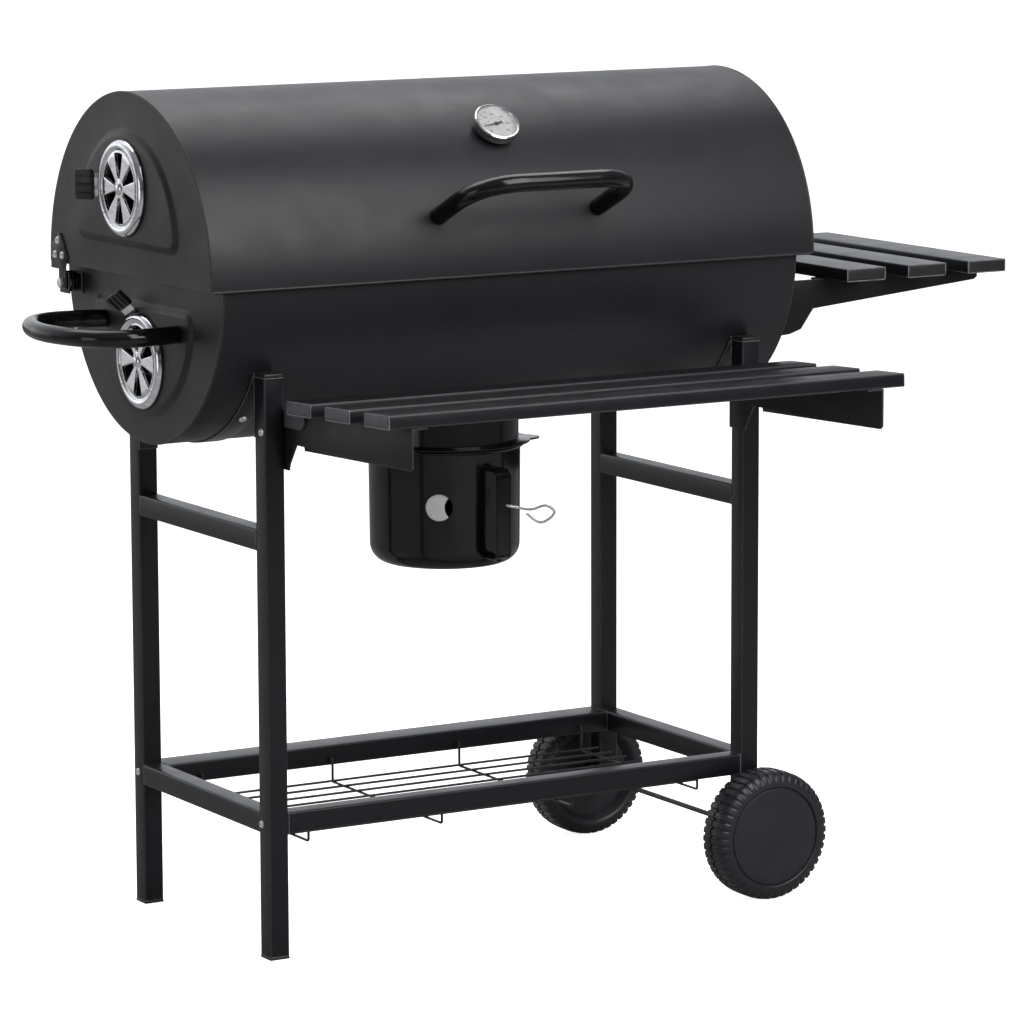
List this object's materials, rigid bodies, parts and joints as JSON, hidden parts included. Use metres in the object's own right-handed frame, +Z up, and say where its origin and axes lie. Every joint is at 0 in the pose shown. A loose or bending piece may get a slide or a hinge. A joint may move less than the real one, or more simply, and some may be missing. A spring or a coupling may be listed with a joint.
{
  "type": "barrel charcoal grill",
  "caption": "Charcoal grill with a horizontal drum and hinged lid on a tube stand with wheels, slatted front and side shelves, a wire rack and an ash pot.",
  "frame": {"origin": "on the floor, in the middle of the bounding box", "axes": "+X along the drum towards the side shelf, +Y to the back, +Z up"},
  "size_m": [1.16, 0.6744, 0.9505],
  "materials": {
    "satin_paint": "satin black powder coat",
    "gloss_enamel": "gloss black enamel",
    "chrome_trim": "polished",
    "zinc_steel": "zinc plated",
    "coated_wire": "semi-gloss coated wire",
    "black_plastic": "fine moulded texture",
    "wheel_plastic": "moulded dark grey plastic",
    "dial_face": "white printed dial",
    "needle_paint": "dark painted needle",
    "lens_glass": "clear flat lens"
  },
  "bodies": {
    "stand": {"leg_front_left": "satin_paint", "leg_front_right": "satin_paint", "leg_rear_left": "satin_paint", "leg_rear_right": "satin_paint", "foot_front_left": "black_plastic", "foot_rear_left": "black_plastic", "leg_cap_left": "black_plastic", "leg_cap_right": "black_plastic", "rail_lower_front": "satin_paint", "rail_lower_rear": "satin_paint", "rail_lower_left": "satin_paint", "rail_lower_right": "satin_paint", "rail_upper_left": "satin_paint", "rail_upper_right": "satin_paint", "wire_rack": "coated_wire", "cradle_left": "satin_paint", "cradle_right": "satin_paint", "axle": "zinc_steel", "barrel_shell": "satin_paint", "barrel_end_left": "satin_paint", "barrel_end_right": "satin_paint", "hinge_bracket_left": "satin_paint", "hinge_bracket_right": "satin_paint", "hinge_pin_left": "zinc_steel", "hinge_pin_right": "zinc_steel", "side_handle": "gloss_enamel", "vent_cover_lower": "chrome_trim", "ash_collar": "gloss_enamel", "cooking_grate_left": "coated_wire", "cooking_grate_right": "coated_wire", "charcoal_grate": "coated_wire", "front_bracket_left": "satin_paint", "front_bracket_right": "satin_paint", "front_slat_1": "satin_paint", "front_slat_2": "satin_paint", "front_slat_3": "satin_paint", "side_bracket_front": "satin_paint", "side_bracket_rear": "satin_paint", "side_slat_1": "satin_paint", "side_slat_2": "satin_paint", "side_slat_3": "satin_paint"},
    "lid": {"lid_shell": "satin_paint", "lid_end_left": "satin_paint", "lid_end_right": "satin_paint", "hinge_plate_left": "satin_paint", "hinge_plate_right": "satin_paint", "lid_handle": "gloss_enamel", "vent_cover_upper": "chrome_trim", "thermometer_case": "chrome_trim", "thermometer_dial": "dial_face", "thermometer_lens": "lens_glass"},
    "upper_damper": {"vent_damper_upper": "chrome_trim", "vent_grip_upper": "black_plastic"},
    "lower_damper": {"vent_damper_lower": "chrome_trim", "vent_grip_lower": "black_plastic"},
    "thermometer_needle": {"thermometer_needle": "needle_paint"},
    "front_wheel": {"wheel_front": "wheel_plastic"},
    "rear_wheel": {"wheel_rear": "wheel_plastic"},
    "ash_pot": {"ash_pot": "gloss_enamel", "pot_clip": "zinc_steel"}
  },
  "joints": [
    {"name": "lid_hinge", "type": "hinge", "parent": "stand", "child": "lid", "pos_m": [-0.077, 0.30322, 0.724], "axis": [-1, 0, 0], "range_deg": [0, 95]},
    {"name": "upper_damper_turn", "type": "hinge", "parent": "lid", "child": "upper_damper", "pos_m": [-0.472, 0.13722, 0.844], "axis": [1, 0, 0], "range_deg": [0, 30]},
    {"name": "lower_damper_turn", "type": "hinge", "parent": "stand", "child": "lower_damper", "pos_m": [-0.456, 0.13722, 0.651], "axis": [1, 0, 0], "range_deg": [0, 30]},
    {"name": "needle_turn", "type": "hinge", "parent": "lid", "child": "thermometer_needle", "pos_m": [-0.077, 0.00339, 0.89913], "axis": [0, 0.6691, -0.7431], "range_deg": [0, 230]},
    {"name": "front_wheel_spin", "type": "hinge", "parent": "stand", "child": "front_wheel", "pos_m": [0.233, -0.08678, 0.076], "axis": [0, 1, 0], "continuous": true},
    {"name": "rear_wheel_spin", "type": "hinge", "parent": "stand", "child": "rear_wheel", "pos_m": [0.233, 0.31322, 0.076], "axis": [0, 1, 0], "continuous": true},
    {"name": "ash_pot_drop", "type": "slide", "parent": "stand", "child": "ash_pot", "axis": [0, 0, -1], "range_m": [0, 0.12]}
  ]
}
